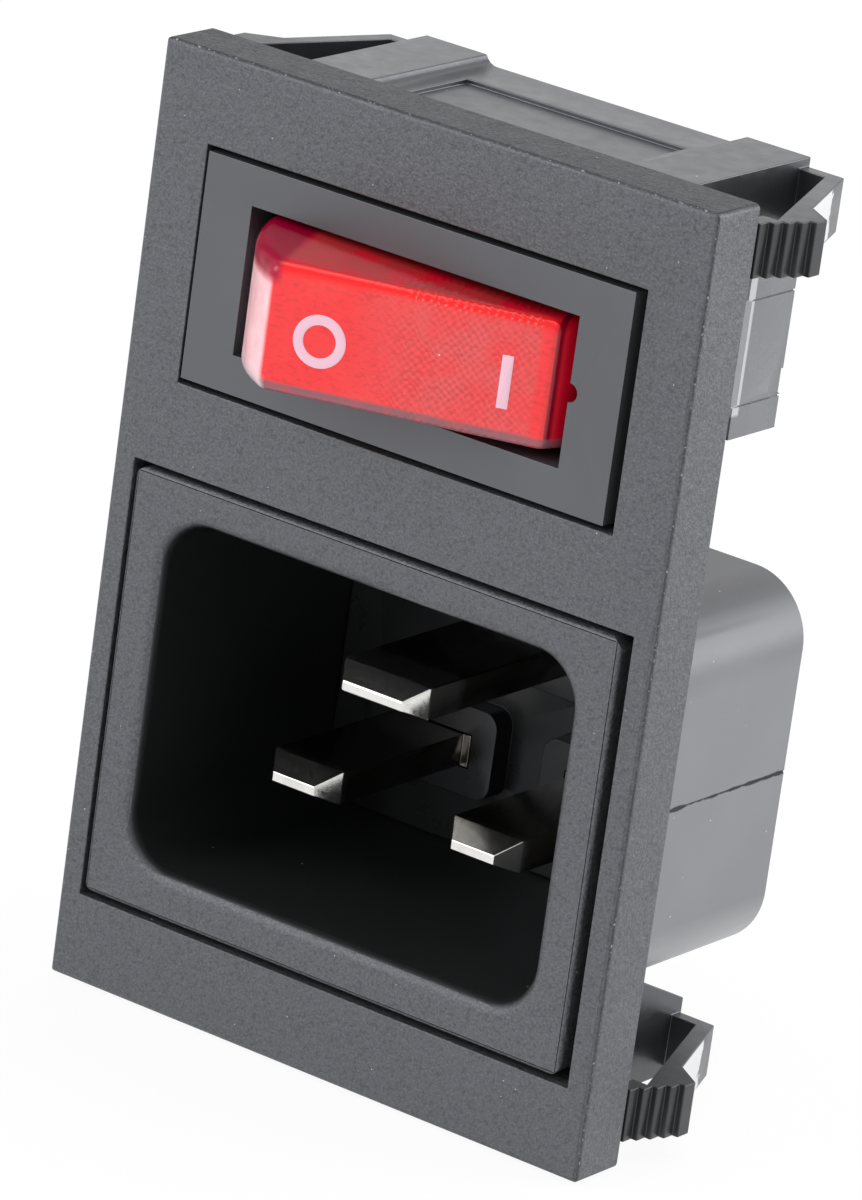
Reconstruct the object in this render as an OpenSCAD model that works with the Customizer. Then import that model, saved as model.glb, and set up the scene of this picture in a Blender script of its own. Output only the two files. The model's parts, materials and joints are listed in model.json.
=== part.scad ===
// Snap-in power entry module: a front frame that holds a lit two-pole rocker switch
// above a three-blade appliance inlet.
// The origin is the centre of the front plate's back face, where the panel seats.
// X runs to the right seen from the front, Y to the back and Z up.

/* [Front plate] */
// Thickness of the front plate
plate_t = 4.05; // [3.6:0.05:5]
// Rounding of the plate's front edges and corners
plate_edge_r = 0.35; // [0.1:0.05:0.8]
// Bar above the switch opening
top_bar = 5.37; // [5.2:0.01:7]
// Bar between the two openings
middle_bar = 5.22; // [5:0.01:8]
// Bar below the inlet opening
bottom_bar = 5.36; // [5.2:0.01:7]
// Bars beside the inlet opening
side_bar = 1.5; // [1.4:0.1:3]
// Thickness of the ledge that the two modules rest on
ledge_t = 1.2; // [0.8:0.1:1.8]

/* [Module openings] */
// Width of the switch opening
switch_open_w = 30.8; // [30:0.1:33]
// Height of the switch opening
switch_open_h = 14.2; // [13.8:0.1:15]
// Width of the inlet opening
inlet_open_w = 35.5; // [35:0.1:36.5]
// Height of the inlet opening
inlet_open_h = 27; // [26.5:0.1:28]
// Play of a module in its opening, each side
play_side = 0.45; // [0.4:0.01:0.7]
// Play of a module in its opening, above and below
play_height = 0.34; // [0.2:0.01:0.7]
// How far both modules sit to the left in their openings
module_shift = 0.27; // [0:0.01:0.35]
// Clearance round a module's body where it passes the ledge
body_play = 0.3; // [0.2:0.05:0.5]

/* [Rear beams] */
// Width over the two rails of a beam
beam_w = 27.2; // [26:0.1:30]
// Length of the beams behind the plate
beam_len = 13.4; // [12:0.1:18]
// Step from the plate's edge down to the rail tops
beam_drop = 0.75; // [0.4:0.05:1.5]
// Width of a guide rail
rail_w = 4.4; // [3:0.1:5.5]
// Height of a guide rail over the deck between the rails
rail_h = 0.55; // [0.3:0.05:1]
// Radius of the hollow between a rail and the deck
rail_fillet = 0.9; // [0.6:0.05:1.3]
// Width of the bare recess in the top deck
recess_w = 15.4; // [10:0.1:16]
// Length of the bare recess behind the plate
recess_len = 9.55; // [5:0.05:11]
// Depth of the bare recess
recess_depth = 0.3; // [0.15:0.05:0.5]
// Thickness of the beams' outer walls and ribs
beam_wall = 1.25; // [1:0.05:1.6]
// How far the top beam's side walls stand into the switch opening
top_hook_rise = 1.2; // [0.5:0.1:1.4]
// How far the bottom beam's side walls stand into the inlet opening
bottom_hook_rise = 1.9; // [1:0.1:1.95]
// Length of the ramp at the end of a side wall
hook_ramp = 4.3; // [3:0.1:6]

/* [Snap arms] */
// Height of a snap arm
arm_h = 3.2; // [2.4:0.1:3.6]
// Step from the plate's edge to the arm
arm_drop = 1.3; // [1.2:0.05:1.6]
// Half width over the arms at their rear bend
arm_rear_x = 16.05; // [15.6:0.05:17]
// Thickness of the springy leaf
leaf_t = 1.05; // [0.8:0.05:1.4]
// Spread of the leaf, measured from straight ahead
leaf_angle = 20; // [16:0.5:22]
// Half width over the outermost step
arm_tip_x = 20.5; // [20.1:0.05:21.2]
// Gap from the plate's back to the arm
arm_gap = 0.65; // [0.4:0.05:1]
// Number of panel steps on an arm
steps = 5; // [3:1:6]
// Length of one panel step
step_len = 0.82; // [0.7:0.01:0.9]
// Height of one panel step
step_rise = 0.38; // [0.25:0.01:0.42]

/* [Switch housing] */
// Length of the rocker window
window_w = 23; // [22.5:0.1:23.5]
// Height of the rocker window
window_h = 8.85; // [8.6:0.05:9.2]
// Wall at the ends of the housing
housing_end_wall = 0.7; // [0.6:0.05:1]
// Wall along the housing
housing_side_wall = 0.68; // [0.6:0.02:1]
// Depth of the housing from the front face
housing_depth = 15.2; // [15:0.1:16]
// Radius of the half-round notch in the window's right end
notch_r = 0.55; // [0.3:0.05:0.7]

/* [Switch base] */
// How far the base stands past the housing's ends
base_lip = 0.4; // [0.2:0.05:0.6]
// Thickness of the base behind the housing
base_len = 4.7; // [4:0.1:6]
// Thickness of the base's floor
base_floor = 3.3; // [2.5:0.1:3.6]
// Length of the spigot that enters the housing
spigot_len = 1.8; // [1:0.1:2.2]
// Wall of the spigot at its ends
spigot_wall = 0.8; // [0.6:0.05:0.85]
// Wall of the spigot along its sides
spigot_skin = 0.4; // [0.3:0.05:0.45]
// Clearance between parts of the switch that are pushed together
seat_play = 0.1; // [0.05:0.01:0.15]
// Height of the wing on the base's ends
wing_h = 6.3; // [4:0.1:7]
// Bevel on the wing's front edge
wing_bevel = 0.38; // [0.2:0.02:0.38]
// Radius of the round mark on the base's ends
mark_r = 0.85; // [0.5:0.05:1.2]

/* [Rocker] */
// Angle of the rocker from level at each end of its travel
rocker_tilt = 19.5; // [14:0.5:20]
// Depth of the rocker's pivot behind the front face
pivot_depth = 4.05; // [4:0.05:4.6]
// Radius of the rocker's pivot pins
pivot_r = 1.05; // [0.8:0.05:1.1]
// Length of a pivot pin in the housing wall
pivot_len = 0.6; // [0.4:0.05:0.6]
// Radial clearance of the pivot pins
pivot_play = 0.05; // [0.02:0.01:0.08]
// Gap between the rocker and its window
rocker_play = 0.3; // [0.25:0.01:0.4]
// Height of the rocker's face over its pivot
lens_face = 7.5; // [7:0.1:8]
// Depth of the lens rim behind the pivot
lens_rim = 0.6; // [0.3:0.1:1]
// Wall of the lens
lens_wall = 1; // [0.8:0.05:1.2]
// Rounding of the lens edges
lens_edge_r = 0.55; // [0.3:0.05:0.8]
// Taper of the lens sides up to the face, each side
lens_draft = 0.32; // [0.1:0.02:0.5]
// Half length of the ears that carry the pivot pins
ear_half = 2.4; // [1.8:0.1:3]

/* [Contacts] */
// Height of each pole over the switch's middle
pole_z = 1.8; // [1.7:0.05:2]
// Radius of a plunger
plunger_r = 0.9; // [0.7:0.05:0.95]
// From the plungers' tips back to the blades' rocking axis
tip_to_axis = 1.45; // [1.4:0.05:1.7]
// How far the plungers stand out of their barrels
plunger_bare = 3.2; // [3:0.1:3.6]
// Thickness of the carrier's plate
carrier_t = 1.4; // [1.2:0.1:1.6]
// Thickness of the lamp's two clips
clip_t = 0.9; // [0.7:0.1:1.1]
// Places of the lamp's clips along the rocker
clip_left = -2.6; // [-3:0.1:-2]
clip_right = 1.8; // [1.4:0.1:2.4]
// Length of a plunger
plunger_len = 5.2; // [4.8:0.1:5.4]
// Travel of a plunger against its spring
plunger_travel = 0.5; // [0.3:0.05:0.6]
// Radial clearance of a plunger in its barrel
plunger_play = 0.05; // [0.02:0.01:0.08]
// Wire radius of a plunger spring
spring_wire_r = 0.13; // [0.1:0.01:0.15]
// Turns of a plunger spring
spring_turns = 3.5; // [3:0.5:4]
// Radius of the ridge that a blade rocks on
ridge_r = 0.6; // [0.5:0.05:0.7]
// How far the blades' rocking axis stands ahead of the housing's back
axis_lead = 1.25; // [1:0.05:1.3]
// Radial clearance of a blade on its ridge
blade_play = 0.05; // [0.02:0.01:0.08]
// Thickness of a contact blade
blade_t = 0.5; // [0.4:0.05:0.6]
// Width of a contact blade
blade_w = 2.1; // [1.8:0.1:2.2]
// Rise of the blade's arms beside the ridge
blade_rise = 26; // [24:1:28]
// Distance from the ridge to the bend in the arms
blade_bend = 3.6; // [3.4:0.1:4]
// Angle of a blade from level at each end of its travel
blade_tilt = 6; // [5:0.5:7]
// Length of the arm that carries the contact
contact_arm = 8.4; // [8:0.1:8.6]
// Length of the plain arm
plain_arm = 5.5; // [4:0.1:6]
// Distance of the contact from the blade's axis
contact_at = 7.4; // [7.2:0.1:7.5]
// Radius of a contact
contact_r = 1; // [0.8:0.05:1.05]
// Height of a contact
contact_h = 0.55; // [0.4:0.05:0.6]
// Gap left between closed contacts
contact_gap = 0.15; // [0.1:0.01:0.25]

/* [Terminals] */
// Width of a push-on tab
tab_w = 6.3; // [6.3:0.1:6.4]
// Thickness of a push-on tab
tab_t = 0.8; // [0.8:0.01:0.85]
// Length of a push-on tab
tab_len = 7.6; // [6.5:0.1:8.4]
// Radius of the hole in a tab
tab_hole_r = 0.85; // [0.7:0.05:0.9]
// Distance of the hole from the tab's end
tab_hole_at = 3.2; // [2.5:0.1:4]
// Chamfer at the tab's end
tab_chamfer = 0.8; // [0.5:0.1:1.2]
// Width of a switch terminal inside the base
strip_w = 5; // [4:0.1:5.1]
// Height of the tabs over the switch's middle
terminal_z = 3.45; // [3.35:0.05:3.5]
// Distance of the load terminals from the middle
load_x = 8; // [7.6:0.1:8.2]
// Clearance of terminals and pins in their slots
slot_play = 0.05; // [0.03:0.01:0.08]

/* [Lamp] */
// Radius of the lamp
lamp_r = 1.6; // [1.2:0.1:1.8]
// Length of the lamp
lamp_len = 8.5; // [7:0.1:9]
// Height of the lamp over the rocker's pivot
lamp_v = 3.5; // [3.3:0.1:3.8]
// Radius of the lead wires
lead_r = 0.22; // [0.15:0.01:0.3]
// Radius of the resistor
resistor_r = 0.9; // [0.7:0.05:1]
// Length of the resistor
resistor_len = 3.4; // [3:0.1:3.6]

/* [Inlet body] */
// Width of the well
well_w = 29.1; // [29:0.1:30]
// Height of the well
well_h = 21.05; // [20.8:0.05:21.6]
// Corner radius of the well
well_r = 3; // [2.5:0.1:3.5]
// Rounding of the well's lip
lip_r = 0.8; // [0.4:0.05:1]
// Wall of the shroud
shroud_wall = 1; // [0.8:0.05:1.1]
// Height of the well's middle over the opening's middle
well_rise = 0.2; // [0:0.05:0.3]
// Rounding of the inlet's front edges
inlet_edge_r = 0.35; // [0.2:0.05:0.8]
// Corner radius of the inlet's face
inlet_corner_r = 0.9; // [0.5:0.05:1.2]
// Width and depth of the mould line on the shroud
mould_line = 0.12; // [0.08:0.01:0.2]

/* [Inlet base] */
// Depth of the collars' front from the front face
collar_depth = 17.5; // [17:0.1:18]
// Height of the collars over the floor
collar_h = 1.6; // [1:0.1:2]
// Thickness of the floor
inlet_floor = 2.8; // [2.4:0.1:4]
// Width of a blade's collar
collar_w = 9.6; // [9:0.1:9.8]
// Height of a blade's collar
collar_height = 5.5; // [5:0.1:6]
// Corner radius of the collars
collar_r = 1; // [0.5:0.1:1.5]
// Height of the ribs round the tabs at the back of the base
base_rib = 0.8; // [0.5:0.1:1.2]
// Wall of the ribs round the tabs
base_rib_wall = 0.8; // [0.6:0.1:1.2]

/* [Blades] */
// Pitch of the line and neutral blades
pin_pitch = 13; // [12.9:0.1:13.1]
// Height from the line and neutral blades up to the earth blade
pin_rise = 8; // [7.9:0.1:8.1]
// Width of the line and neutral blades
pin_w = 5; // [4.8:0.1:5.2]
// Width of the earth blade
earth_w = 6.3; // [6.1:0.1:6.4]
// Thickness of the blades
pin_t = 2; // [1.9:0.05:2.1]
// Depth of the line and neutral tips from the front face
pin_tip = 4.4; // [4:0.1:5]
// How far the earth blade's tip stands ahead of the others
earth_lead = 2.7; // [2:0.1:3]
// Width taken off each side at the tips
tip_side = 1; // [0.6:0.05:1.2]
// Length of the chamfered tips
tip_len = 1.4; // [1:0.1:1.8]
// Thickness left at the very tip
tip_t = 0.55; // [0.4:0.05:1.2]
// How far the tips sit below the blades' middle
tip_drop = 0.2; // [0:0.05:0.35]
// Shoulder of the blades at their roots, each side
root_shoulder = 0.55; // [0.4:0.05:0.65]

/* [Hidden] */
$fn = 48;

eps = 0.01;
over = 1;

// The plate, from its openings and the bars round them
plate_w = inlet_open_w + 2 * side_bar;
plate_h = top_bar + switch_open_h + middle_bar + inlet_open_h + bottom_bar;

// Heights of the two openings' middles
switch_z = plate_h / 2 - top_bar - switch_open_h / 2;
inlet_z = -plate_h / 2 + bottom_bar + inlet_open_h / 2;

// The faces and bodies of the two modules, from their openings and from what they hold
module_depth = plate_t - ledge_t;
blade_axis_depth = housing_depth - axis_lead;
plunger_reach = blade_axis_depth - pivot_depth - tip_to_axis;
bezel_w = switch_open_w - 2 * play_side;
bezel_h = switch_open_h - 2 * play_height;
housing_w = window_w + 2 * housing_end_wall;
housing_h = window_h + 2 * housing_side_wall;
face_w = inlet_open_w - 2 * play_side;
face_h = inlet_open_h - 2 * play_height;
shroud_w = well_w + 2 * shroud_wall;
shroud_h = well_h + 2 * shroud_wall;
shroud_r = well_r + shroud_wall;

// The base of the switch
base_w = housing_w + 2 * base_lip;
base_depth = housing_depth + base_len;
spigot_w = window_w - 2 * seat_play;
spigot_h = window_h - 2 * seat_play;

// The rocker, from its window
lens_end_r = window_w / 2 - rocker_play;
lens_half_h = window_h / 2 - rocker_play;
carrier_half_h = lens_half_h - lens_wall - seat_play;
carrier_top = -0.9;
carrier_back = 1.4;
barrel_wall = 0.42;
barrel_r = plunger_r + plunger_play + barrel_wall;
barrel_end = plunger_reach - plunger_bare;
spring_floor = 0.9;

// The blades' arms start on this radius round their axis
saddle_r = ridge_r + blade_play + blade_t;

// Height of a blade's top over its axis at the bend, and further out at distance x
bend_top = -saddle_r - (blade_bend - saddle_r) * tan(blade_rise);
function arm_top(x) = bend_top - (x - blade_bend) * tan(blade_tilt);

// The closed contacts meet here, seen from the blade's axis
seat_top = arm_top(contact_at) + blade_t;
meet_x = -contact_at * cos(blade_tilt) + seat_top * sin(blade_tilt);
meet_y = contact_at * sin(blade_tilt) + seat_top * cos(blade_tilt) + contact_h;
fixed_top = blade_axis_depth + meet_y + contact_gap;
shelf_top = fixed_top + contact_h;

// The inlet's floor, and the back of its body
floor_depth = collar_depth + collar_h;
inlet_depth = floor_depth + inlet_floor;
well_z = inlet_z + well_rise;

// Moves a drawing in X and Z back through the part, from depth a to depth b
module through(a, b) {
    translate([0, b, 0]) rotate([90, 0, 0]) linear_extrude(b - a) children();
}

// Moves a drawing in Y and Z across the part, over a width
module across(w) {
    translate([-w / 2, 0, 0]) rotate([90, 0, 90]) linear_extrude(w) children();
}

// Moves a drawing in X and Y up through the part, over a height
module upright(h) {
    translate([0, 0, -h / 2]) linear_extrude(h) children();
}

// A rectangle with round corners
module round_rect(w, h, r) {
    square([w - 2 * r, h], center = true);
    square([w, h - 2 * r], center = true);
    for (x = [-1, 1], y = [-1, 1])
        translate([x * (w / 2 - r), y * (h / 2 - r)]) circle(r);
}

// A rectangle from the front face back to depth d, with its two front corners rounded
module front_rounded(w, d, r) {
    translate([-w / 2, r]) square([w, d - r]);
    translate([-w / 2 + r, 0]) square([w - 2 * r, d]);
    for (x = [-1, 1]) translate([x * (w / 2 - r), r]) circle(r);
}

// The same shape lying in Y and Z
module front_rounded_side(h, d, r) {
    rotate(90) mirror([0, 1]) front_rounded(h, d, r);
}

// A slab whose front edges and upright corners are rounded
module slab(w, h, d, r, corner_r) {
    intersection() {
        upright(h + over) front_rounded(w, d, r);
        across(w + over) front_rounded_side(h, d, r);
        through(-over, d) round_rect(w, h, corner_r);
    }
}

// Places of the two modules: their own Y is the depth behind the plate's front face
module switch_place() {
    translate([-module_shift, -plate_t, switch_z]) children();
}

module inlet_place() {
    translate([-module_shift, -plate_t, well_z]) children();
}

// The rocker's own frame has its origin on the pivot, its face towards -Y
module rocker_place() {
    switch_place() translate([0, pivot_depth, 0]) rotate([0, 0, rocker_tilt]) children();
}

// The blade's own frame has its origin on the rocking axis
module blade_place(side) {
    switch_place() translate([0, blade_axis_depth, side * pole_z])
        rotate([0, 0, -blade_tilt]) children();
}

// One snap arm at the right, seen from above: rear bend, leaf and stepped block
function leaf_x(y) = arm_rear_x + (beam_len - y) * tan(leaf_angle);
block_start_x = arm_tip_x - steps * step_rise;
block_end_y = arm_gap + (steps + 0.3) * step_len;
block_inner_x = leaf_x(arm_gap + 2 * step_len) - leaf_t / cos(leaf_angle);
arm_steps = [for (i = [0:steps - 1], j = [0, 1])
    [block_start_x + (i + 1) * step_rise, arm_gap + (i + j * (i == steps - 1 ? 1.3 : 1)) * step_len]];

module arm_outline() {
    rear_in_y = beam_len - leaf_t;
    polygon(concat(
        [[beam_w / 2 - beam_wall / 2, beam_len - 0.15], [arm_rear_x, beam_len - 0.15]],
        [[leaf_x(block_end_y + 1.35), block_end_y + 1.35]],
        [for (i = [len(arm_steps) - 1:-1:0]) arm_steps[i]],
        [[block_start_x - 0.6, arm_gap], [block_start_x - 0.6, arm_gap + 2 * step_len]],
        [[block_inner_x, arm_gap + 2 * step_len]],
        [[leaf_x(rear_in_y) - leaf_t / cos(leaf_angle), rear_in_y]],
        [[beam_w / 2 - beam_wall / 2, rear_in_y]]));
}

// A rear beam across the top: hollow, open at the back, with two guide rails
module beam(opening_edge, hook_rise, recessed) {
    rail_top = plate_h / 2 - beam_drop;
    deck = rail_top - rail_h;
    rail_in = beam_w / 2 - rail_w;
    drop_angle = acos(1 - rail_h / rail_fillet);
    hollow_h = deck - opening_edge - 2 * beam_wall;
    difference() {
        through(-ledge_t, beam_len) {
            translate([-beam_w / 2, opening_edge]) square([beam_w, deck - opening_edge]);
            for (s = [-1, 1]) mirror([s < 0 ? 1 : 0, 0]) polygon(concat(
                [[beam_w / 2, deck - eps], [beam_w / 2, rail_top], [rail_in, rail_top]],
                [for (a = [drop_angle:-drop_angle / 4:0])
                    [rail_in - rail_fillet * (sin(drop_angle) - sin(a)),
                        deck + rail_fillet * (1 - cos(a))]],
                [[rail_in - rail_fillet * sin(drop_angle), deck - eps]]));
        }
        for (x = [-1, 0, 1]) {
            pocket_w = x == 0 ? 2 * rail_in - 2 * beam_wall : rail_w - beam_wall;
            pocket_x = x * (rail_in + pocket_w / 2);
            translate([pocket_x, 0, opening_edge + beam_wall + hollow_h / 2])
                through(beam_wall, beam_len + over) square([pocket_w, hollow_h], center = true);
        }
        if (recessed)
            translate([-recess_w / 2, -eps, deck - recess_depth])
                cube([recess_w, recess_len + eps, recess_depth + over]);
    }
    for (s = [-1, 1])
        translate([s * (beam_w / 2 - beam_wall / 2), 0, opening_edge]) across(beam_wall)
            polygon([[0, -hook_rise], [beam_len - hook_ramp, -hook_rise], [beam_len, 0],
                [beam_len, beam_wall], [0, beam_wall]]);
}

module mounting_frame() color([0.2, 0.21, 0.22]) {
    arm_z = plate_h / 2 - arm_drop - arm_h;
    difference() {
        translate([0, -plate_t, 0]) slab(plate_w, plate_h, plate_t, plate_edge_r, plate_edge_r);
        translate([0, 0, switch_z]) {
            through(-plate_t - over, -ledge_t)
                square([switch_open_w, switch_open_h], center = true);
            translate([-module_shift, 0]) through(-plate_t, over)
                square([housing_w + 2 * body_play, housing_h + 2 * body_play], center = true);
        }
        translate([0, 0, inlet_z]) through(-plate_t - over, -ledge_t)
            square([inlet_open_w, inlet_open_h], center = true);
        translate([-module_shift, 0, well_z]) through(-plate_t, over)
            round_rect(shroud_w + 2 * body_play, shroud_h + 2 * body_play, shroud_r + body_play);
    }
    beam(switch_z + switch_open_h / 2, top_hook_rise, true);
    mirror([0, 0, 1]) beam(-inlet_z + inlet_open_h / 2, bottom_hook_rise, false);
    for (x = [0, 1], z = [0, 1]) mirror([x, 0, 0]) mirror([0, 0, z])
        translate([0, 0, arm_z]) linear_extrude(arm_h) arm_outline();
}

module switch_housing() color([0.22, 0.23, 0.24]) switch_place() difference() {
    union() {
        through(0, module_depth) square([bezel_w, bezel_h], center = true);
        through(module_depth - eps, housing_depth) square([housing_w, housing_h], center = true);
    }
    through(-over, housing_depth + over) square([window_w, window_h], center = true);
    translate([window_w / 2, 0, 0]) through(-over, module_depth) circle(notch_r);
    translate([0, pivot_depth, 0]) cylinder(r = pivot_r + pivot_play, h = housing_h + over,
        center = true);
}

// The slot of one flat terminal, through the base's floor
module terminal_slot(x, side) {
    translate([x, base_depth - base_floor / 2, side * terminal_z])
        cube([tab_w + 2 * slot_play, base_floor + 2 * over, tab_t + 2 * slot_play], center = true);
}

module switch_base() color([0.12, 0.12, 0.13]) switch_place() difference() {
    union() {
        through(housing_depth, base_depth) square([base_w, housing_h], center = true);
        through(housing_depth - spigot_len, housing_depth + eps)
            square([spigot_w, spigot_h], center = true);
    }
    through(0, base_depth - base_floor)
        square([spigot_w - 2 * spigot_wall, spigot_h - 2 * spigot_skin], center = true);
    for (x = [-load_x, 0], side = [-1, 1]) terminal_slot(x, side);
    for (s = [-1, 1]) translate([s * base_w / 2, 0, 0]) {
        translate([0, housing_depth, 0]) rotate([0, 0, 45])
            cube([wing_bevel * sqrt(2), wing_bevel * sqrt(2), wing_h], center = true);
        for (z = [-1, 1]) translate([0, housing_depth + base_len / 2, z * wing_h / 2])
            cube([2 * mould_line, base_len + over, mould_line], center = true);
        translate([0, base_depth - mark_r / 2, -wing_h / 2 + mark_r]) rotate([0, 90, 0])
            cylinder(r = mark_r, h = 2 * mould_line, center = true);
    }
}

// The rocker's plan, cut back by a wall of thickness t
module lens_plan(t, back) {
    end_r = lens_end_r - t;
    corner = max(lens_edge_r - t, 0.1);
    face_half = sqrt(end_r * end_r - (lens_face - t) * (lens_face - t));
    intersection() {
        circle(end_r, $fn = 96);
        union() {
            translate([-end_r, -lens_face + t + corner])
                square([2 * end_r, lens_face - t - corner + back]);
            translate([-face_half + corner, -lens_face + t])
                square([2 * (face_half - corner), corner + eps]);
            for (s = [-1, 1])
                translate([s * (face_half - corner * 0.75), -lens_face + t + corner]) circle(corner);
        }
    }
}

// The rocker's cross-section in Y and Z, cut back by the same wall
module lens_section(t, back) {
    top = lens_half_h - lens_draft - t;
    base = lens_half_h - t;
    corner = max(lens_edge_r - t, 0.1);
    polygon([[-lens_face + t + corner, -top], [0, -base], [back, -base], [back, base], [0, base],
        [-lens_face + t + corner, top]]);
    translate([-lens_face + t, -top + corner]) square([corner + eps, 2 * (top - corner)]);
    for (s = [-1, 1]) translate([-lens_face + t + corner, s * (top - corner)]) circle(corner);
}

module lens_form(t, back) {
    intersection() {
        upright(window_h) lens_plan(t, back);
        across(window_w) lens_section(t, back);
    }
}

module rocker_lens() color([0.9, 0.1, 0.1, 0.7]) rocker_place() {
    ear_back = pivot_r + 0.25;
    difference() {
        union() {
            lens_form(0, lens_rim);
            for (s = [-1, 1]) translate([-ear_half, 0, s > 0 ? lens_half_h - lens_wall : -lens_half_h])
                cube([2 * ear_half, ear_back, lens_wall]);
        }
        lens_form(lens_wall, lens_rim + over);
    }
    for (s = [-1, 1]) translate([0, 0, s * (lens_half_h - lens_wall / 2)])
        translate([0, 0, s > 0 ? 0 : -lens_wall / 2 - rocker_play - pivot_len])
            cylinder(r = pivot_r, h = lens_wall / 2 + rocker_play + pivot_len);
}

module rocker_carrier() color([0.92, 0.92, 0.9]) rocker_place() difference() {
    union() {
        upright(2 * carrier_half_h) intersection() {
            circle(lens_end_r - lens_wall - 2 * seat_play, $fn = 96);
            union() {
                translate([-lens_end_r, carrier_top]) square([2 * lens_end_r, carrier_t]);
                translate([-ear_half, carrier_top]) square([2 * ear_half, carrier_back - carrier_top]);
            }
        }
        for (u = [clip_left, clip_right]) translate([u, (carrier_top - lamp_v) / 2, 0])
            cube([clip_t, lamp_v + carrier_top, 2 * lamp_r], center = true);
        translate([lamp_len / 2 + resistor_len / 2 + 0.9, (carrier_top - lamp_v) / 2, 0])
            cube([0.9, lamp_v + carrier_top, 2 * resistor_r], center = true);
        for (s = [-1, 1]) translate([0, carrier_back - eps, s * pole_z]) rotate([-90, 0, 0])
            cylinder(r = barrel_r, h = barrel_end - carrier_back);
        translate([-0.5, carrier_back - eps, -pole_z]) cube([1, barrel_end - carrier_back - 0.6, 2 * pole_z]);
    }
    for (s = [-1, 1]) translate([0, spring_floor, s * pole_z]) rotate([-90, 0, 0])
        cylinder(r = plunger_r + plunger_play, h = barrel_end);
    translate([-lamp_len / 2 - 0.6, -lamp_v, 0]) rotate([0, 90, 0])
        cylinder(r = lamp_r + slot_play, h = lamp_len + 0.6);
    translate([lamp_len / 2 + 0.5, -lamp_v, 0]) rotate([0, 90, 0])
        cylinder(r = resistor_r + slot_play, h = resistor_len + 1);
}

module plunger(side) color([0.85, 0.85, 0.8]) rocker_place()
    translate([0, plunger_reach - plunger_len, side * pole_z]) rotate([-90, 0, 0]) {
        cylinder(r = plunger_r, h = plunger_len - plunger_r);
        translate([0, 0, plunger_len - plunger_r]) intersection() {
            sphere(plunger_r);
            cylinder(r = plunger_r + over, h = plunger_r + over);
        }
    }

// A coil of round wire along +Y, with its two ends cut square
module coil(mean_r, wire_r, turns, length) {
    sides = 8;
    rings = 14;
    count = round(turns * rings);
    pitch = length / turns;
    points = [for (i = [0:count], k = [0:sides - 1])
        let (a = 360 * i / rings, b = 360 * k / sides, r = mean_r + wire_r * cos(b))
            [r * cos(a), wire_r + (length - 2 * wire_r) * i / count + wire_r * sin(b), r * sin(a)]];
    skin = [for (i = [0:count - 1], k = [0:sides - 1])
        [i * sides + k, i * sides + (k + 1) % sides, (i + 1) * sides + (k + 1) % sides,
            (i + 1) * sides + k]];
    ends = [[for (k = [sides - 1:-1:0]) k], [for (k = [0:sides - 1]) count * sides + k]];
    polyhedron(points, concat(skin, ends));
}

module plunger_spring(side) color([0.75, 0.76, 0.78]) rocker_place()
    translate([0, spring_floor, side * pole_z])
        coil(plunger_r - spring_wire_r - 0.06, spring_wire_r, spring_turns,
            plunger_reach - plunger_len - spring_floor);

// The blade's side view: a saddle over the ridge and two bent arms
module blade_profile() {
    saddle_in = blade_t - saddle_r;
    difference() {
        polygon([[-contact_arm, arm_top(contact_arm)], [-blade_bend, bend_top],
            [-saddle_r, -saddle_r], [saddle_r, -saddle_r], [blade_bend, bend_top],
            [plain_arm, arm_top(plain_arm)], [plain_arm, arm_top(plain_arm) + blade_t],
            [blade_bend, bend_top + blade_t], [saddle_r, saddle_in], [saddle_r, 0],
            [-saddle_r, 0], [-saddle_r, saddle_in], [-blade_bend, bend_top + blade_t],
            [-contact_arm, arm_top(contact_arm) + blade_t]]);
        circle(ridge_r + blade_play);
    }
}

// Where a contact sits on its blade, its own Z away from the arm
module contact_place() {
    translate([-contact_at, seat_top, 0]) rotate([0, 0, blade_tilt]) rotate([-90, 0, 0])
        children();
}

module contact_blade(side) color([0.83, 0.6, 0.36]) blade_place(side) difference() {
    upright(blade_w) blade_profile();
    contact_place() cylinder(r = contact_r / 2 + slot_play, h = 4 * blade_t, center = true);
}

// A contact with a domed face and a shank that ends flush with the strip it's riveted to
module contact_rivet(strip_t) {
    dome_r = 2 * contact_r;
    intersection() {
        cylinder(r = contact_r, h = contact_h);
        translate([0, 0, contact_h - dome_r]) sphere(dome_r, $fn = 96);
    }
    translate([0, 0, -strip_t]) cylinder(r = contact_r / 2, h = strip_t + eps);
}

module moving_contact(side) color([0.85, 0.85, 0.87]) blade_place(side) contact_place()
    contact_rivet(blade_t);

// A flat strip of width w from depth a to depth b, then a push-on tab that ends at depth d
module tab_strip(a, b, d, w) {
    upright(tab_t) difference() {
        polygon([[-w / 2, a], [w / 2, a], [w / 2, b], [tab_w / 2, b], [tab_w / 2, d - tab_chamfer],
            [tab_w / 2 - tab_chamfer, d], [-tab_w / 2 + tab_chamfer, d],
            [-tab_w / 2, d - tab_chamfer], [-tab_w / 2, b], [-w / 2, b]]);
        translate([0, d - tab_hole_at]) circle(tab_hole_r);
    }
}

module switch_tab(a) {
    tab_strip(a, base_depth - base_floor + tab_t, base_depth + tab_len, strip_w);
}

// The foot of a terminal, from its strip down to height low over the switch's middle
module terminal_foot(side, low) {
    reach = terminal_z + tab_t / 2 - low;
    translate([0, 0, side * (low + reach / 2)]) upright(reach) children();
}

module common_terminal(side) color([0.8, 0.66, 0.35]) switch_place() {
    translate([0, 0, side * terminal_z]) switch_tab(blade_axis_depth + ridge_r + tab_t);
    terminal_foot(side, pole_z - blade_w / 2 - seat_play) translate([0, blade_axis_depth]) {
        circle(ridge_r);
        translate([-ridge_r, 0]) square([2 * ridge_r, ridge_r + 2 * tab_t]);
    }
}

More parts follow.
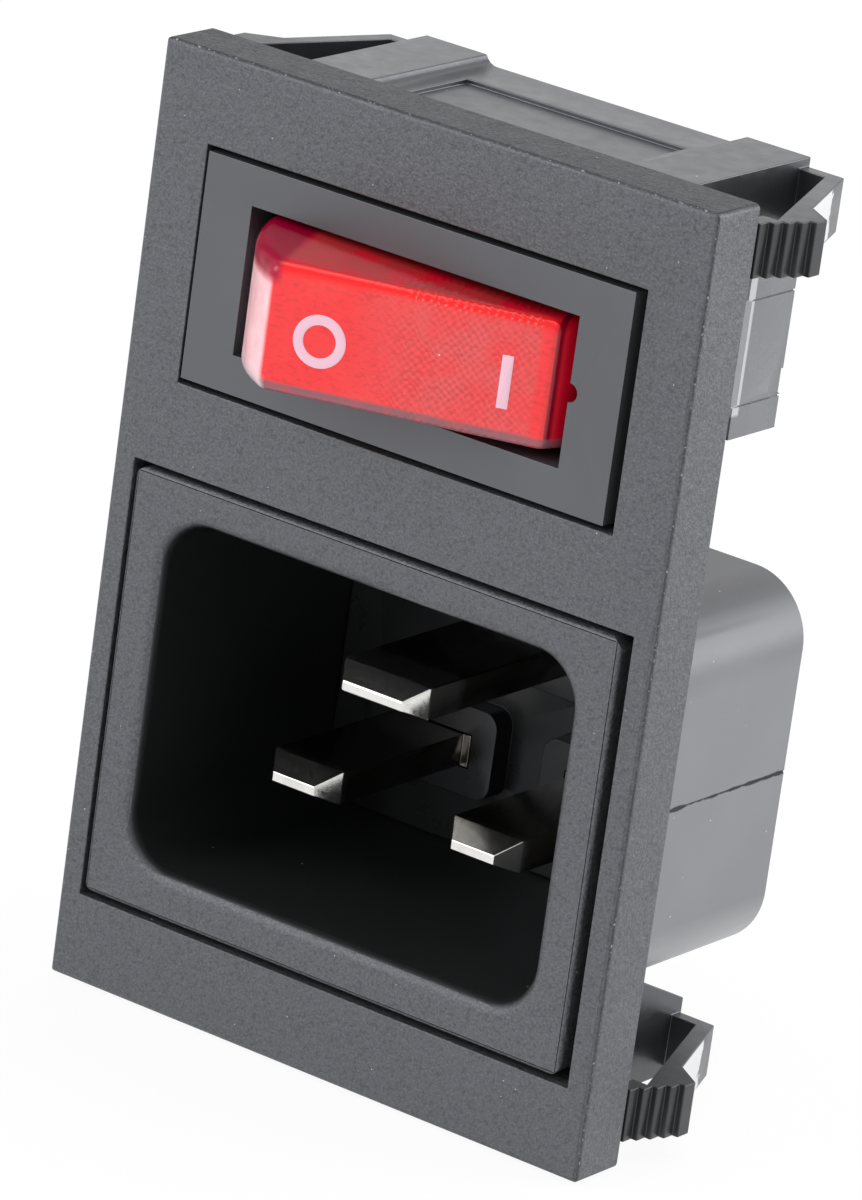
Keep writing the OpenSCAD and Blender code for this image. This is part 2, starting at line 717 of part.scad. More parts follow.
module load_terminal(side) color([0.8, 0.66, 0.35]) switch_place() difference() {
    union() {
        translate([-load_x, 0, side * terminal_z]) switch_tab(shelf_top);
        terminal_foot(side, pole_z - contact_r - seat_play)
            translate([-load_x - strip_w / 2, shelf_top]) square([strip_w, tab_t]);
    }
    translate([meet_x, shelf_top, side * pole_z]) rotate([90, 0, 0])
        cylinder(r = contact_r / 2 + slot_play, h = 4 * tab_t, center = true);
}

module fixed_contact(side) color([0.85, 0.85, 0.87]) switch_place()
    translate([meet_x, shelf_top, side * pole_z]) rotate([90, 0, 0]) contact_rivet(tab_t);

module neon_lamp() color([1, 0.75, 0.55, 0.6]) rocker_place() {
    body = lamp_len - lamp_r;
    translate([-lamp_len / 2, -lamp_v, 0]) rotate([0, 90, 0]) {
        translate([0, 0, lamp_r]) cylinder(r = lamp_r, h = body - lamp_r / 2);
        translate([0, 0, lamp_r]) sphere(lamp_r);
        translate([0, 0, lamp_r]) cylinder(r = lamp_r * 0.8, h = body);
    }
}

// Lead wires: out of the lamp, through the resistor, and down to the carrier at both ends
module lamp_leads() color([0.78, 0.78, 0.8]) rocker_place() {
    gap = 0.02;
    lead_end = lamp_len / 2 + 0.9 + resistor_len + 0.55;
    foot = carrier_top - gap;
    for (run = [[-lamp_len / 2 - 0.5, -lamp_len / 2 - gap], [lamp_len / 2 + gap, lamp_len / 2 + 0.9 - gap],
            [lamp_len / 2 + 0.9 + resistor_len + gap, lead_end]])
        translate([run[0], -lamp_v, 0]) rotate([0, 90, 0]) cylinder(r = lead_r, h = run[1] - run[0]);
    for (u = [-lamp_len / 2 - 0.5, lead_end]) translate([u, -lamp_v, 0]) {
        sphere(lead_r);
        rotate([-90, 0, 0]) cylinder(r = lead_r, h = lamp_v + foot);
    }
}

module ballast_resistor() color([0.75, 0.62, 0.42]) rocker_place()
    translate([lamp_len / 2 + 0.9, -lamp_v, 0]) rotate([0, 90, 0])
        cylinder(r = resistor_r, h = resistor_len);

// What the rounded lip takes off round the mouth of the well
module lip_cut() {
    for (s = [0, 1]) mirror([s, 0, 0]) translate([well_w / 2, 0, 0])
        upright(well_h - 2 * well_r) lip_profile();
    for (s = [0, 1]) mirror([0, 0, s]) translate([0, 0, well_h / 2])
        across(well_w - 2 * well_r) rotate(90) mirror([0, 1]) lip_profile();
    for (x = [0, 1], z = [0, 1]) mirror([x, 0, 0]) mirror([0, 0, z])
        translate([well_w / 2 - well_r, 0, well_h / 2 - well_r]) rotate([90, 0, 0])
            rotate_extrude(angle = 90) translate([well_r, 0]) mirror([0, 1]) lip_profile();
}

module lip_profile() {
    difference() {
        translate([-eps, -eps]) square(lip_r + eps);
        translate([lip_r, lip_r]) circle(lip_r);
    }
}

module inlet_body() color([0.16, 0.17, 0.18]) inlet_place() difference() {
    union() {
        translate([0, 0, -well_rise]) slab(face_w, face_h, module_depth, inlet_edge_r, inlet_corner_r);
        through(module_depth - eps, inlet_depth) round_rect(shroud_w, shroud_h, shroud_r);
    }
    through(-over, inlet_depth + over) round_rect(well_w, well_h, well_r);
    lip_cut();
    for (s = [-1, 1]) translate([s * shroud_w / 2, (plate_t + inlet_depth) / 2, 0])
        cube([mould_line, inlet_depth - plate_t + 2 * over, mould_line], center = true);
}

// The places of the three blades, from the well's middle: width, side and height
module pin_places(grow) {
    for (s = [-1, 1]) translate([s * pin_pitch / 2, -pin_rise / 2]) square(grow, center = true);
    translate([0, pin_rise / 2]) square(grow, center = true);
}

module inlet_base() color([0.1, 0.1, 0.11]) inlet_place() difference() {
    union() {
        through(floor_depth, inlet_depth)
            round_rect(well_w - 2 * seat_play, well_h - 2 * seat_play, well_r - seat_play);
        for (place = [[-pin_pitch / 2, -pin_rise / 2], [pin_pitch / 2, -pin_rise / 2],
                [0, pin_rise / 2]])
            translate([place[0], 0, place[1]]) {
                through(collar_depth, floor_depth + eps) round_rect(collar_w, collar_height, collar_r);
                through(inlet_depth - eps, inlet_depth + base_rib)
                    round_rect(earth_w + 2 * (root_shoulder + base_rib_wall),
                        pin_t + 2 * base_rib_wall, base_rib_wall);
            }
    }
    through(0, inlet_depth + 2 * over) {
        for (s = [-1, 1]) translate([s * pin_pitch / 2, -pin_rise / 2])
            square([pin_w + 2 * root_shoulder + 2 * slot_play, pin_t + 2 * slot_play], center = true);
        translate([0, pin_rise / 2])
            square([earth_w + 2 * root_shoulder + 2 * slot_play, pin_t + 2 * slot_play], center = true);
    }
}

// A flat blade with a chamfered tip, a wider root in the base and a push-on tab behind
module blade_pin(w, tip) color([0.8, 0.79, 0.76]) {
    root_w = w + 2 * root_shoulder;
    intersection() {
        upright(pin_t) union() {
            polygon([[-w / 2 + tip_side, tip], [w / 2 - tip_side, tip], [w / 2, tip + tip_len],
                [w / 2, collar_depth + eps], [-w / 2, collar_depth + eps], [-w / 2, tip + tip_len]]);
            translate([-root_w / 2, collar_depth]) square([root_w, inlet_depth + base_rib - collar_depth]);
        }
        across(root_w) polygon([[tip, -tip_t / 2 - tip_drop], [tip, tip_t / 2 - tip_drop],
            [tip + tip_len, pin_t / 2], [inlet_depth + base_rib, pin_t / 2],
            [inlet_depth + base_rib, -pin_t / 2], [tip + tip_len, -pin_t / 2]]);
    }
    tab_strip(inlet_depth, inlet_depth + tab_t, inlet_depth + base_rib + tab_len, tab_w);
}

module power_pin(side) inlet_place()
    translate([side * pin_pitch / 2, 0, -pin_rise / 2]) blade_pin(pin_w, pin_tip);

module earth_pin() inlet_place()
    translate([0, 0, pin_rise / 2]) blade_pin(earth_w, pin_tip - earth_lead);

mounting_frame();
switch_housing();
switch_base();
rocker_lens();
rocker_carrier();
plunger(1);  // upper_plunger
plunger(-1);  // lower_plunger
plunger_spring(1);  // upper_plunger_spring
plunger_spring(-1);  // lower_plunger_spring
contact_blade(1);  // upper_contact_blade
contact_blade(-1);  // lower_contact_blade
moving_contact(1);  // upper_moving_contact
moving_contact(-1);  // lower_moving_contact
common_terminal(1);  // upper_common_terminal
common_terminal(-1);  // lower_common_terminal
load_terminal(1);  // upper_load_terminal
load_terminal(-1);  // lower_load_terminal
fixed_contact(1);  // upper_fixed_contact
fixed_contact(-1);  // lower_fixed_contact
neon_lamp();
lamp_leads();
ballast_resistor();
inlet_body();
inlet_base();
power_pin(-1);  // line_pin
power_pin(1);  // neutral_pin
earth_pin();
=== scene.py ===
"""Dresses the snap-in power entry module for its picture.

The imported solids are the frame. Moulded and stamped pieces are copies of their solids with the
edges rounded over. The rocker's cap, its printed marks, the plungers' springs, the lamp, its
leads and the resistor are surfaces worked out here. Lengths are in millimetres until a piece is
placed.
"""

import json
import math

import bmesh
import bpy
import numpy as np
from mathutils import Matrix, Vector

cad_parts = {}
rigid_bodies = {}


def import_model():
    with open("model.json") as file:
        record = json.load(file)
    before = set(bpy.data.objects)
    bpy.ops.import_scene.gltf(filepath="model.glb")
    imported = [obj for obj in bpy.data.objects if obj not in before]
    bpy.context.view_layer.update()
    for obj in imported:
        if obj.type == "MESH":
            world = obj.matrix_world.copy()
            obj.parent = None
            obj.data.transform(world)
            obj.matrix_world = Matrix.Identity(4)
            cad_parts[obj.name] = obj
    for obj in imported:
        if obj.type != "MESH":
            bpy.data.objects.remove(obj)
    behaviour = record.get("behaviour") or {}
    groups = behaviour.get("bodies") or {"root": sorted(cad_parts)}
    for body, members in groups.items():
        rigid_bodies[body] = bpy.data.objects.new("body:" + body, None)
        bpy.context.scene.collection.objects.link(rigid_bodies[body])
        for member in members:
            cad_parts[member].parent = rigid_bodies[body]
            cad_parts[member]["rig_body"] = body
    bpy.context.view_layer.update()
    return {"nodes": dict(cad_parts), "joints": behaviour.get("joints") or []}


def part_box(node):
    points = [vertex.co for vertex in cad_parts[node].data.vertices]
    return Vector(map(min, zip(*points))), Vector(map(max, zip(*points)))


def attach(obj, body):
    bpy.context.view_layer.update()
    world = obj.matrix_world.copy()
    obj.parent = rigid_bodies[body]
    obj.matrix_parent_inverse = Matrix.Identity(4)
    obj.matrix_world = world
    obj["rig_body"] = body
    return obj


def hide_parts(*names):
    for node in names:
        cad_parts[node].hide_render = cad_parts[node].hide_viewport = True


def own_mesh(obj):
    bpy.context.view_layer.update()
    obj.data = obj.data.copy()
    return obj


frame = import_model()

MM = 0.001

# Rocker: its pivot, and how far the cap is tilted at rest, which is half of its whole turn
joint_of = {joint["name"]: joint for joint in frame["joints"]}
pivot = np.array(joint_of["rocker_tilt"]["pos_m"]) / MM
TILT = math.radians(19.5)

# Rocker cap, in its own frame: u along it, v to the back from the pivot, w up. Its face and its
# round ends lie CAP_FACE and CAP_END_R from the pivot. CAP_HALF is its half height at the open
# rim, CAP_DRAFT what it loses towards the face, and CAP_EDGE the radius of its long edges.
CAP_FACE = 7.5
CAP_END_R = 11.2
CAP_RIM = 0.6
CAP_HALF = 4.125
CAP_DRAFT = 0.32
CAP_WALL = 1.0
CAP_EDGE = 0.75
MARK_AT = 5.43
MARK_MIDDLE = (0.34, -0.23)
PLUNGER_W = 1.8

# Light under the cap, all on one line: the lamp round u = 0, and the resistor to its right
LIGHT_V = -3.5
LAMP_LEN = 8.5
RESISTOR_FROM = 5.15
RESISTOR_LEN = 3.4

# Plate: half its width and height, and where its front face lies
PLATE_HALF = (19.25, 28.575)
PLATE_FRONT = -4.05

# Camera: its place in metres, its turn, drop and roll in degrees, its lens in millimetres
VIEW_FROM = (0.24665, -0.36019, 0.14443)
VIEW_ANGLES = (34.264, 18.319, 7.912)
VIEW_LENS = 242.75

# The inlet's well: half sizes just outside its walls, and the same across its rounded corners
WELL_HALF = (14.75, 10.75)
WELL_DIAGONAL = 24.1

# Outer face of the snap arms, which start at the decks' rear end: its half width at the plate's
# back, the loss of it per millimetre, its lower and upper edge from the middle of the plate, and
# where a painted highlight lies on it along the depth
DECK_LEN = 13.4
LEAF_SLOPE = math.tan(math.radians(20))
LEAF_FOOT = 16.05 + DECK_LEN * LEAF_SLOPE
LEAF_HEIGHTS = (24.15, 27.24)
HIGHLIGHT_DEPTHS = (6.9, 12.3)

# Dust: radius of the smallest and largest specks, and how far their rims wander
SPECK_RADIUS = (0.028, 0.075)
SPECK_WANDER = 0.03

# Edges of the moulded and stamped pieces are rounded over where they turn by more degrees
EDGE_ANGLE = 28


# Materials


class Finish:
    """A node material that is built up step by step round one shader."""

    def __init__(self, name, colour, roughness, metallic=0.0, **sockets):
        self.material = bpy.data.materials.new(name)
        self.material.use_nodes = True
        self.tree = self.material.node_tree
        self.shader = self.tree.nodes["Principled BSDF"]
        self.shader.inputs["Base Color"].default_value = (*colour, 1)
        self.shader.inputs["Roughness"].default_value = roughness
        self.shader.inputs["Metallic"].default_value = metallic
        for socket, value in sockets.items():
            self.shader.inputs[socket.replace("_", " ")].default_value = value
        self.place = self.add("ShaderNodeTexCoord").outputs["Object"]
        self.height = None

    def add(self, kind, **values):
        made = self.tree.nodes.new(kind)
        for key, value in values.items():
            setattr(made, key, value)
        return made

    def link(self, a, b):
        self.tree.links.new(a, b)

    def feed(self, socket, value):
        """Drives one of the shader's own sockets by a texture."""
        self.link(value, self.shader.inputs[socket])

    def stretched(self, scale):
        """Object coordinates with each axis scaled, for brushed or drawn surfaces."""
        mapping = self.add("ShaderNodeMapping")
        mapping.inputs["Scale"].default_value = scale
        self.link(self.place, mapping.inputs["Vector"])
        return mapping.outputs["Vector"]

    def noise(self, size_mm, detail=2.0, rough=0.5, place=None):
        """Noise whose blobs are about size_mm across."""
        node = self.add("ShaderNodeTexNoise")
        node.inputs["Scale"].default_value = 1000.0 / size_mm
        node.inputs["Detail"].default_value = detail
        node.inputs["Roughness"].default_value = rough
        self.link(place or self.place, node.inputs["Vector"])
        return node.outputs["Fac"]

    def cells(self, size_mm):
        """A random pattern of cells about size_mm across."""
        node = self.add("ShaderNodeTexVoronoi")
        node.inputs["Scale"].default_value = 1000.0 / size_mm
        self.link(self.place, node.inputs["Vector"])
        return node

    def span(self, value, low, high, to_low=0.0, to_high=1.0):
        """Turns the range from low to high into another range, and holds it at both ends."""
        node = self.add("ShaderNodeMapRange")
        for key, number in zip(("From Min", "From Max", "To Min", "To Max"),
                               (low, high, to_low, to_high)):
            node.inputs[key].default_value = number
        self.link(value, node.inputs["Value"])
        return node.outputs["Result"]

    def between(self, value, low, high, soft=0.1):
        """One where a value lies between two limits, with soft ends, and zero outside."""
        return self.product(self.span(value, low, low + soft), self.span(value, high, high - soft))

    def maths(self, operation, a, b=0.0):
        node = self.add("ShaderNodeMath", operation=operation)
        for k, value in enumerate((a, b)):
            if isinstance(value, (int, float)):
                node.inputs[k].default_value = value
            else:
                self.link(value, node.inputs[k])
        return node.outputs[0]

    def product(self, first, *others):
        """Textures and numbers multiplied together."""
        for other in others:
            first = self.maths("MULTIPLY", first, other)
        return first

    def axis(self, k, place=None):
        node = self.add("ShaderNodeSeparateXYZ")
        self.link(place or self.place, node.inputs[0])
        return node.outputs[k]

    def millimetres(self, k):
        """The place along one axis of the piece, in millimetres."""
        return self.product(self.axis(k), 1000)

    def distance(self, k, middle=0.0):
        """How far a point lies from a place along one axis, in millimetres."""
        return self.maths("ABSOLUTE", self.maths("SUBTRACT", self.millimetres(k), middle))

    def tint(self, amount, other):
        """Mixes the colour so far with another, by a texture."""
        node = self.add("ShaderNodeMix", data_type="RGBA")
        self.link(amount, node.inputs["Factor"])
        socket = self.shader.inputs["Base Color"]
        if socket.is_linked:
            self.link(socket.links[0].from_socket, node.inputs["A"])
        else:
            node.inputs["A"].default_value = socket.default_value
        node.inputs["B"].default_value = (*other, 1)
        self.link(node.outputs["Result"], socket)

    def rough(self, value, low, high):
        """Lets the roughness wander between two limits by a noise."""
        self.feed("Roughness", self.span(value, 0.3, 0.7, low, high))

    def relief(self, value, depth_mm):
        """Raises the surface by a texture, on top of the relief so far."""
        node = self.add("ShaderNodeBump")
        node.inputs["Strength"].default_value = 1.0
        node.inputs["Distance"].default_value = depth_mm * MM
        self.link(value, node.inputs["Height"])
        if self.height:
            self.link(self.height, node.inputs["Normal"])
        self.height = node.outputs["Normal"]
        self.feed("Normal", self.height)
        return self


def dust(f, spacing, amount, colour=(0.62, 0.62, 0.64)):
    """Dim specks of uneven size: the middles of a few cells of a random pattern."""
    cell = f.cells(spacing)
    shade = cell.outputs["Color"]
    few = f.maths("GREATER_THAN", f.axis(0, shade), 1 - amount)
    wander = f.product(f.noise(0.08, 1), SPECK_WANDER / spacing)
    smallest, largest = (radius / spacing for radius in SPECK_RADIUS)
    dot = f.maths("LESS_THAN", f.maths("ADD", cell.outputs["Distance"], wander),
                  f.span(f.axis(1, shade), 0, 1, smallest, largest))
    f.tint(f.product(few, dot, 0.8), colour)


def near_edge(f, k, half, width):
    """One within width of either end of a span about zero along an axis, zero inside it."""
    return f.span(f.distance(k), half - width, half - width * 0.4)


def black_nylon(name, colour, roughness):
    """Black nylon under bright light: a dark base under a strong, slightly blue gloss."""
    return Finish(name, colour, roughness, IOR=1.85, Specular_Tint=(0.9, 0.93, 1.0, 1))


def spark_grain(f, amount):
    """Fine spark-eroded grain: uneven tone, and pits that break the gloss up."""
    fine = f.noise(0.15, 3, 0.7)
    f.tint(f.product(f.span(fine, 0.42, 0.66), amount), (0.09, 0.092, 0.102))
    f.tint(f.product(f.span(f.noise(0.22, 2), 0.5, 0.75), amount), (0.012, 0.012, 0.014))
    f.relief(f.noise(5, 2), 0.02).relief(f.product(fine, amount), 0.05)
    f.relief(f.product(f.noise(0.4, 2), amount), 0.06)


def painted_highlight_patches(f, far, y):
    """One on the painted highlight patches of the arms' outer faces, zero elsewhere."""
    ragged = f.maths("ADD", y, f.product(f.noise(1.1, 4, 0.7), 2.4))
    outer = f.maths("ADD", far, f.product(y, LEAF_SLOPE))
    outer = f.product(f.span(outer, LEAF_FOOT - 0.25, LEAF_FOOT - 0.15), f.span(y, 5.3, 5.4))
    return f.product(outer, f.between(f.distance(2), *LEAF_HEIGHTS), f.between(ragged, *HIGHLIGHT_DEPTHS))


def grained_plastic():
    """The frame: grained plate with a worn rim whose dark line is partly painted shade, smoother
    and glossier behind it, and painted highlights on its arms.
    """
    f = black_nylon("grained_plastic", (0.034, 0.035, 0.039), 0.46)
    far, y = f.distance(0), f.millimetres(1)
    plain = f.span(y, 0.0, 0.5)
    spark_grain(f, f.span(plain, 0, 1, 1, 0.12))
    f.tint(f.product(plain, 0.8), (0.02, 0.02, 0.023))
    arms = f.product(f.span(far, 13.7, 14.1), f.span(y, 9, 5.5), plain)
    f.tint(arms, (0.022, 0.022, 0.024))
    f.tint(f.span(f.noise(4, 4), 0.5, 0.8, 0, 0.25), (0.06, 0.062, 0.068))
    # Painted highlight: pale ragged patches on the arms' outer faces.
    f.tint(f.product(painted_highlight_patches(f, far, y), 0.9), (0.7, 0.7, 0.71))
    rim = [near_edge(f, k, half, 0.14) for k, half in zip((0, 2), PLATE_HALF)]
    rim = f.product(f.maths("MAXIMUM", *rim),
                    f.span(y, PLATE_FRONT + 0.1, PLATE_FRONT + 0.25, 1, 0))
    # Along the front rim: a ragged dark line that is partly moulding flash and partly painted shade
    # of the edge, then pale specks.
    f.tint(f.product(rim, f.span(f.noise(0.5, 3), 0.4, 0.5)), (0.008, 0.008, 0.009))
    f.tint(f.product(rim, f.span(f.noise(0.22, 3), 0.62, 0.66)), (0.5, 0.5, 0.52))
    wear_and_shade = f.product(rim, f.span(f.noise(0.7, 2), 0.35, 0.5, 0.2, 0.36))
    below_top = f.maths("SUBTRACT", PLATE_HALF[1], f.millimetres(2))
    top = f.product(f.span(below_top, 0.175, 0.025, 0, 0.42), f.span(y, 0.1, 0))
    less = f.maths("MAXIMUM", f.maths("MAXIMUM", wear_and_shade, top), f.product(arms, 0.26))
    polished = f.product(f.span(far, 17.5, 18.5), f.span(y, 7.5, 8.5), 0.4)
    f.feed("Specular IOR Level", f.maths("ADD", f.maths("SUBTRACT", 0.5, less), polished))
    uneven = f.span(f.noise(1.2, 4), 0.3, 0.7, 0.42, 0.52)
    f.feed("Roughness", f.maths("SUBTRACT", uneven, f.product(plain, 0.14)))
    dust(f, 0.9, 0.2)
    return f.material


def smooth_black(name, colour, roughness, gloss=0.5):
    """Smooth moulded nylon with a faint flow pattern and rubs."""
    f = black_nylon(name, colour, roughness)
    f.shader.inputs["Specular IOR Level"].default_value = gloss
    f.tint(f.span(f.noise(6, 4), 0.35, 0.75, 0, 0.5), tuple(c * 1.3 + 0.006 for c in colour))
    f.relief(f.noise(2.5, 2), 0.006).relief(f.noise(0.22, 2), 0.0022)
    f.rough(f.noise(3, 4), roughness - 0.05, roughness + 0.06)
    dust(f, 1.1, 0.15)
    return f


def housing_plastic():
    """The switch's shell: satin bezel, with its sides behind the frame painted paler as a painted
    sheen.
    """
    f = smooth_black("bezel_plastic", (0.05, 0.051, 0.056), 0.36)
    # Painted sheen: the sides behind the frame are painted much paler than the bezel.
    f.tint(f.span(f.millimetres(1), 0.0, 0.2), (0.27, 0.272, 0.29))
    return f.material


def rear_plastic():
    """The switch's rear plate: its front edge is painted pale above the lower step, a painted
    highlight.
    """
    f = smooth_black("rear_plastic", (0.13, 0.132, 0.14), 0.26)
    edge_back, step_z = 11.8, 12.4
    # Painted highlight: a pale strip along the front edge above the lower step.
    f.tint(f.product(f.span(f.millimetres(1), edge_back + 0.05, edge_back - 0.05),
                     f.span(f.millimetres(2), step_z - 0.1, step_z + 0.1), 0.95), (0.5, 0.5, 0.52))
    return f.material


def window_of(f, middle, half_w, half_h, diagonal):
    """One inside an upright rectangle of the front with cut corners, zero outside it."""
    across, up = f.distance(0, middle[0]), f.distance(2, middle[2])
    return f.product(f.maths("LESS_THAN", across, half_w), f.maths("LESS_THAN", up, half_h),
                     f.maths("LESS_THAN", f.maths("ADD", across, up), diagonal))


def shroud_plastic():
    """The inlet's shell: grained flange, satin body with a painted shade on its top and a painted
    reflection on its bottom, and a well painted near black as painted shade.
    """
    f = black_nylon("shroud_plastic", (0.16, 0.161, 0.17), 0.42)
    y = f.millimetres(1)
    up = f.maths("SUBTRACT", f.millimetres(2), well_middle[2])
    flange = f.span(y, -1.3, -1.15, 1, 0)
    shaded_crown, lit_keel = f.span(up, 6.5, 11.5), f.span(up, -7.5, -11.0)
    f.tint(f.span(f.noise(7, 4), 0.4, 0.75, 0, 0.4), (0.2, 0.202, 0.21))
    # Painted shade darkens the top of the body, and a painted reflection makes its bottom pale.
    f.tint(f.product(shaded_crown, 0.62), (0.03, 0.03, 0.033))
    f.tint(lit_keel, (0.4, 0.4, 0.41))
    f.tint(flange, (0.034, 0.035, 0.039))
    wander = f.span(f.noise(1.5, 4), 0.3, 0.7, -0.08, 0.08)
    seam = f.maths("ADD", f.distance(2, well_middle[2]), wander)
    seam = f.product(f.span(seam, 0.06, 0.12, 1, 0), f.span(y, 0, 0.1))
    f.tint(seam, (0.01, 0.01, 0.01))
    well = f.product(window_of(f, well_middle, *WELL_HALF, WELL_DIAGONAL),
                     f.span(y, PLATE_FRONT + 0.05, PLATE_FRONT + 0.45))
    grain = f.maths("MAXIMUM", f.maths("SUBTRACT", flange, well))
    spark_grain(f, grain)
    # Painted shade: the well is painted near black, lighter towards its right wall where light
    # reaches in.
    f.tint(well, (0.012, 0.013, 0.013))
    right = f.span(f.millimetres(0), well_middle[0] + 13.9, well_middle[0] + 14.3)
    f.tint(f.product(well, right), (0.05, 0.051, 0.051))
    f.feed("Roughness", f.span(grain, 0, 1, 0.42, 0.46))
    ends = f.product(f.maths("MAXIMUM", shaded_crown, lit_keel), f.span(y, 0, 0.2, 0, 0.5))
    dull = f.maths("MAXIMUM", f.maths("MAXIMUM", well, seam), ends)
    f.feed("Specular IOR Level", f.span(dull, 0, 1, 0.5, 0.15))
    dust(f, 0.9, 0.2)
    return f.material


def rocker_place(f):
    """The place in the rocker's own frame: u along it, v to the back, w up, in millimetres."""
    x, y, z = (f.maths("SUBTRACT", f.millimetres(k), pivot[k]) for k in range(3))
    cos, sin = math.cos(TILT), math.sin(TILT)
    u = f.maths("ADD", f.product(x, cos), f.product(y, sin))
    v = f.maths("SUBTRACT", f.product(y, cos), f.product(x, sin))
    return u, v, z


def lit_prisms(f, u, w):
    """Tints the face by its prisms, sin(u) * sin(w) with a wandering phase, and returns them."""
    wave = 2 * math.pi / 0.47
    sway = f.product(f.noise(1.1, 2), 0.5)
    ripples = [f.maths("SINE", f.product(f.maths("ADD", axis, sway), wave)) for axis in (u, w)]
    shown = f.product(f.span(u, -3.8, 0.5), f.span(u, 7.7, 7.3))
    crate = f.product(*ripples, shown, f.span(f.noise(1.7, 3), 0.3, 0.6, 0.35, 1))
    f.tint(f.product(shown, f.span(f.noise(2.2, 3), 0.35, 0.65, 0.15, 0.5)), (0.66, 0.14, 0.14))
    f.tint(f.span(crate, 0.1, 0.8, 0, 0.45), (0.34, 0.07, 0.075))
    f.tint(f.span(crate, -0.1, -0.8, 0, 0.22), (1.0, 0.16, 0.14))
    return crate


def lens_plastic():
    """Red polycarbonate: prisms lit up under the face, clear crimson walls with painted glints and
    a painted shade at the right end, and a painted reflection that turns the high end pale pink.
    """
    f = Finish("lens_red", (0.96, 0.032, 0.036), 0.2, IOR=1.5)
    u, v, w = rocker_place(f)
    depth = f.maths("ADD", v, CAP_FACE)
    crate = lit_prisms(f, u, w)
    streaks = f.noise(0.2, 2, 0.6, f.stretched((0.3, 1, 1)))
    f.tint(f.span(streaks, 0.5, 0.7, 0, 0.45), (0.62, 0.02, 0.03))
    f.tint(f.span(f.noise(3, 3), 0.45, 0.75, 0, 0.4), (1.0, 0.07, 0.06))
    wall = f.span(depth, 0.16, 0.8)
    f.tint(f.product(wall, 0.97), (0.68, 0.04, 0.045))
    # Painted glints: bright crimson spots on the walls and a bright right end, for light passing
    # through the red plastic.
    glow = f.maths("MAXIMUM", f.span(f.noise(2.6, 3), 0.5, 0.6, 0, 0.85), f.span(u, 6.5, 8.4))
    f.tint(f.product(wall, glow), (1.0, 0.003, 0.034))
    # Painted highlight: a bright red line along the edge between the face and the top wall.
    edge_glint = f.product(f.span(depth, 0.02, 0.1), f.span(depth, 0.6, 0.4), f.span(w, 2.9, 3.2))
    f.tint(edge_glint, (1.0, 0.003, 0.004))
    # Painted shade: a dark crimson band round the right end.
    shaded_right_rim = f.product(f.span(u, 8.3, 8.4), f.span(u, 8.75, 8.6))
    f.tint(shaded_right_rim, (0.3, 0.0, 0.016))
    low = f.product(f.span(w, -2.98, -3.16), f.span(f.noise(0.9, 3), 0.3, 0.6, 0.7, 0.95),
                    f.span(depth, 1.6, 1.1))
    f.tint(low, (0.27, 0.105, 0.125))
    # Painted reflection: the high end is painted pale pink where it mirrors the white surroundings.
    high = f.product(f.span(u, -8.15, -8.4), f.span(w, 3.2, 2.4),
                     f.span(f.noise(1.2, 3), 0.3, 0.6, 0.8, 1))
    f.tint(high, (1.0, 0.6, 0.64))
    f.tint(f.product(f.span(u, -7.95, -8.3), f.span(w, -2.7, -3.4)), (0.6, 0.5, 0.5))
    corner = f.product(f.span(u, -7.6, -8.1), f.span(w, 2.4, 3.0))
    f.tint(corner, (0.42, 0.0, 0.035))
    f.feed("Specular IOR Level",
           f.maths("SUBTRACT", f.span(wall, 0, 1, 0.5, 0.14), f.product(corner, 0.12)))
    clear = f.product(wall, f.span(f.maths("MAXIMUM", high, low), 0, 1, 0.32, 0.12),
                      f.span(u, 6.5, 8.4, 1, 0.25))
    f.feed("Transmission Weight", f.maths("ADD", clear, 0.06))
    f.relief(f.noise(1.3, 2), 0.008).relief(f.noise(0.2, 2), 0.004).relief(crate, 0.015)
    f.rough(f.noise(1.4, 3), 0.16, 0.26)
    dust(f, 0.8, 0.06, (0.95, 0.7, 0.7))
    return f.material


def white_nylon():
    """Natural nylon with a faint flow pattern."""
    f = Finish("white_plastic", (0.82, 0.82, 0.79), 0.45)
    f.tint(f.span(f.noise(2, 4), 0.4, 0.75, 0, 0.5), (0.88, 0.88, 0.86))
    f.relief(f.noise(1.5, 2), 0.006).relief(f.noise(0.2, 2), 0.002)
    f.rough(f.noise(1.2, 4), 0.38, 0.52)
    return f.material


def print_ink():
    """Matt white ink with thin spots."""
    f = Finish("mark_ink", (0.84, 0.52, 0.63), 0.5)
    f.tint(f.span(f.noise(0.35, 3), 0.6, 0.85, 0, 0.3), (0.9, 0.45, 0.5))
    f.relief(f.noise(0.08, 2), 0.003)
    return f.material


def plated_metal(name, colour, roughness, along=(1, 1, 1), tarnish=(0.3, 0.27, 0.22),
                 shaded_depths=None):
    """Plated strip: fine rolling lines across the given axis scales, with dull patches.

    Between the two shaded depths, in millimetres from the plate's back, it is painted dark brown as
    painted shade on the pins inside the well."""
    f = Finish(name, colour, roughness, metallic=1.0)
    lines = f.noise(0.35, 3, 0.6, f.stretched(along))
    f.tint(f.span(f.noise(1.6, 4), 0.5, 0.85, 0, 0.35), tarnish)
    # Painted shade: the pins are painted dark brown where they stand deep in the well.
    if shaded_depths:
        front, back = shaded_depths
        y = f.millimetres(1)
        wear_and_shade = f.maths("ADD", y, f.product(f.noise(0.8, 3), 1.2))
        f.tint(f.product(f.span(wear_and_shade, front, front + 0.8, 0, 0.8), f.span(y, back + 0.5, back)),
               (0.13, 0.11, 0.09))
    f.rough(lines, roughness - 0.05, roughness + 0.12)
    f.relief(lines, 0.0025)
    return f.material


def clear_glass():
    """Thin clear glass, a little wavy."""
    f = Finish("lamp_glass", (0.98, 0.93, 0.88), 0.03, Transmission_Weight=1.0, IOR=1.45)
    f.relief(f.noise(1.5, 2), 0.01)
    return f.material


